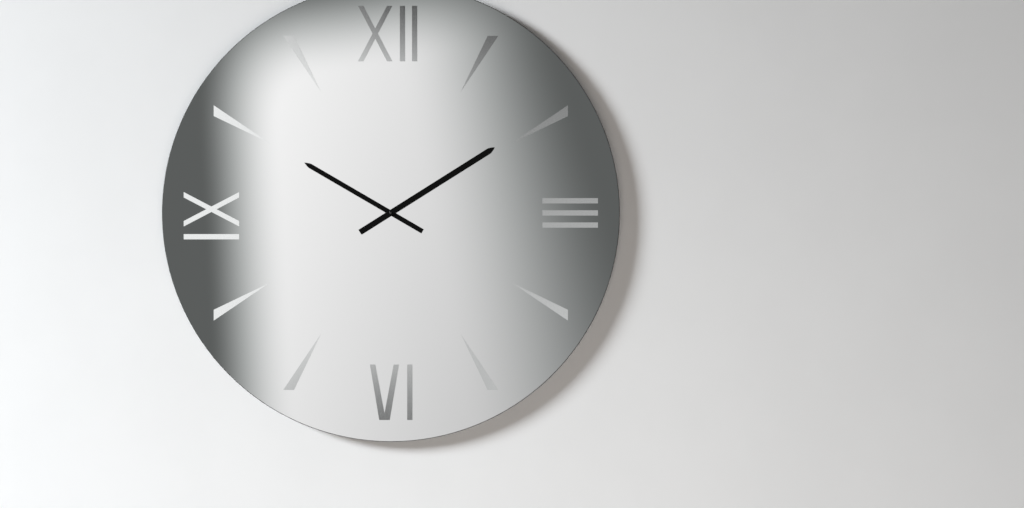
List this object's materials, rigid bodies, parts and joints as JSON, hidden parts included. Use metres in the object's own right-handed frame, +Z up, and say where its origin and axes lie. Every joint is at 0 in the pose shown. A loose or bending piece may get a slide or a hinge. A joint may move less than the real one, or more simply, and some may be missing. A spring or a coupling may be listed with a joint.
{
  "type": "wall clock",
  "caption": "Large round frameless mirror wall clock with applied Roman numerals, wedge hour marks, two black baton hands and a battery quartz movement.",
  "frame": {"origin": "centre of the hands' shaft, in the plane of the wall that the felt ring rests on", "axes": "-Y out of the dial towards the viewer, +Z up through XII, +X towards III"},
  "size_m": [0.9999, 0.037, 1],
  "materials": {
    "felt": "pressed wool felt",
    "fibreboard": "dyed black, lacquered matt",
    "zinc_steel": "bright zinc plated",
    "foam_tape": "closed-cell foam",
    "silvered_mirror": "silvered glass",
    "satin_metal": "satin",
    "rubber": "soft matt",
    "case_plastic": "fine spark texture",
    "brass": "turned",
    "gear_plastic": "natural acetal",
    "black_aluminium": "matt black enamel",
    "black_nickel": "polished black nickel plating",
    "spring_steel": "rolled",
    "magnet": "sintered",
    "knob_plastic": "moulded, ribbed grip",
    "plate_plastic": "moulded",
    "soft_iron": "annealed sheet",
    "bobbin_plastic": "moulded",
    "copper": "enamelled wire",
    "circuit_laminate": "solder mask",
    "tin_plate": "tin plated",
    "black_resin": "poured resin",
    "cell_jacket": "printed sleeve, no words"
  },
  "bodies": {
    "body": {"wall_felt": "felt", "back_board": "fibreboard", "keyhole_plates": "zinc_steel", "plate_screws": "zinc_steel", "bonding_tape": "foam_tape", "mirror_dial": "silvered_mirror", "numeral_xii": "satin_metal", "numeral_iii": "satin_metal", "numeral_vi": "satin_metal", "numeral_ix": "satin_metal", "hour_wedges": "satin_metal", "gasket": "rubber", "front_case": "case_plastic", "back_case": "case_plastic", "fixing_washer": "brass", "fixing_nut": "brass", "train_plate": "plate_plastic", "stator": "soft_iron", "coil_core": "soft_iron", "coil_bobbin": "bobbin_plastic", "coil_winding": "copper", "motor_screws": "zinc_steel", "circuit_board": "circuit_laminate", "quartz_crystal": "tin_plate", "control_chip": "black_resin", "positive_contact": "tin_plate", "negative_contact": "tin_plate", "battery": "cell_jacket"},
    "minute": {"minute_arbor": "brass", "minute_hand": "black_aluminium", "cap_nut": "black_nickel", "clutch_spring": "spring_steel", "clutch_ring": "spring_steel"},
    "hour": {"hour_wheel": "gear_plastic", "hour_hand": "black_aluminium", "hour_collet": "brass"},
    "motion": {"motion_wheel": "gear_plastic"},
    "knob": {"setting_knob": "knob_plastic"},
    "rotor": {"rotor": "gear_plastic", "rotor_magnet": "magnet"},
    "intermediate": {"intermediate_wheel": "gear_plastic"},
    "seconds": {"seconds_wheel": "gear_plastic"},
    "third": {"third_wheel": "gear_plastic"},
    "centre": {"centre_wheel": "gear_plastic"}
  },
  "joints": [
    {"name": "minute_turn", "type": "hinge", "parent": "body", "child": "minute", "pos_m": [0, -0.03, 0], "axis": [0, 1, 0], "continuous": true},
    {"name": "hour_turn", "type": "hinge", "parent": "body", "child": "hour", "pos_m": [0, -0.025, 0], "axis": [0, 1, 0], "continuous": true},
    {"name": "motion_turn", "type": "hinge", "parent": "body", "child": "motion", "pos_m": [0.006, -0.0163, 0.01039], "axis": [0, 1, 0], "continuous": true},
    {"name": "knob_turn", "type": "hinge", "parent": "body", "child": "knob", "pos_m": [0.018, -0.0025, 0.01039], "axis": [0, 1, 0], "continuous": true},
    {"name": "rotor_turn", "type": "hinge", "parent": "body", "child": "rotor", "pos_m": [0.00011, -0.0095, 0.01353], "axis": [0, 1, 0], "continuous": true},
    {"name": "intermediate_turn", "type": "hinge", "parent": "body", "child": "intermediate", "pos_m": [-0.00385, -0.0063, 0.00667], "axis": [0, 1, 0], "continuous": true},
    {"name": "seconds_turn", "type": "hinge", "parent": "body", "child": "seconds", "pos_m": [0, -0.008, 0], "axis": [0, 1, 0], "continuous": true},
    {"name": "third_turn", "type": "hinge", "parent": "body", "child": "third", "pos_m": [-0.00998, -0.013, 0.00576], "axis": [0, 1, 0], "continuous": true},
    {"name": "centre_turn", "type": "hinge", "parent": "body", "child": "centre", "pos_m": [0, -0.0146, 0], "axis": [0, 1, 0], "continuous": true}
  ],
  "couplings": [
    {"joint": "hour_turn", "follows": "minute_turn", "ratio": 0.083333},
    {"joint": "motion_turn", "follows": "minute_turn", "ratio": -0.33333},
    {"joint": "knob_turn", "follows": "minute_turn", "ratio": 1},
    {"joint": "intermediate_turn", "follows": "rotor_turn", "ratio": -0.2},
    {"joint": "seconds_turn", "follows": "rotor_turn", "ratio": 0.033333},
    {"joint": "third_turn", "follows": "rotor_turn", "ratio": -0.0044444},
    {"joint": "centre_turn", "follows": "rotor_turn", "ratio": 0.00055556}
  ]
}
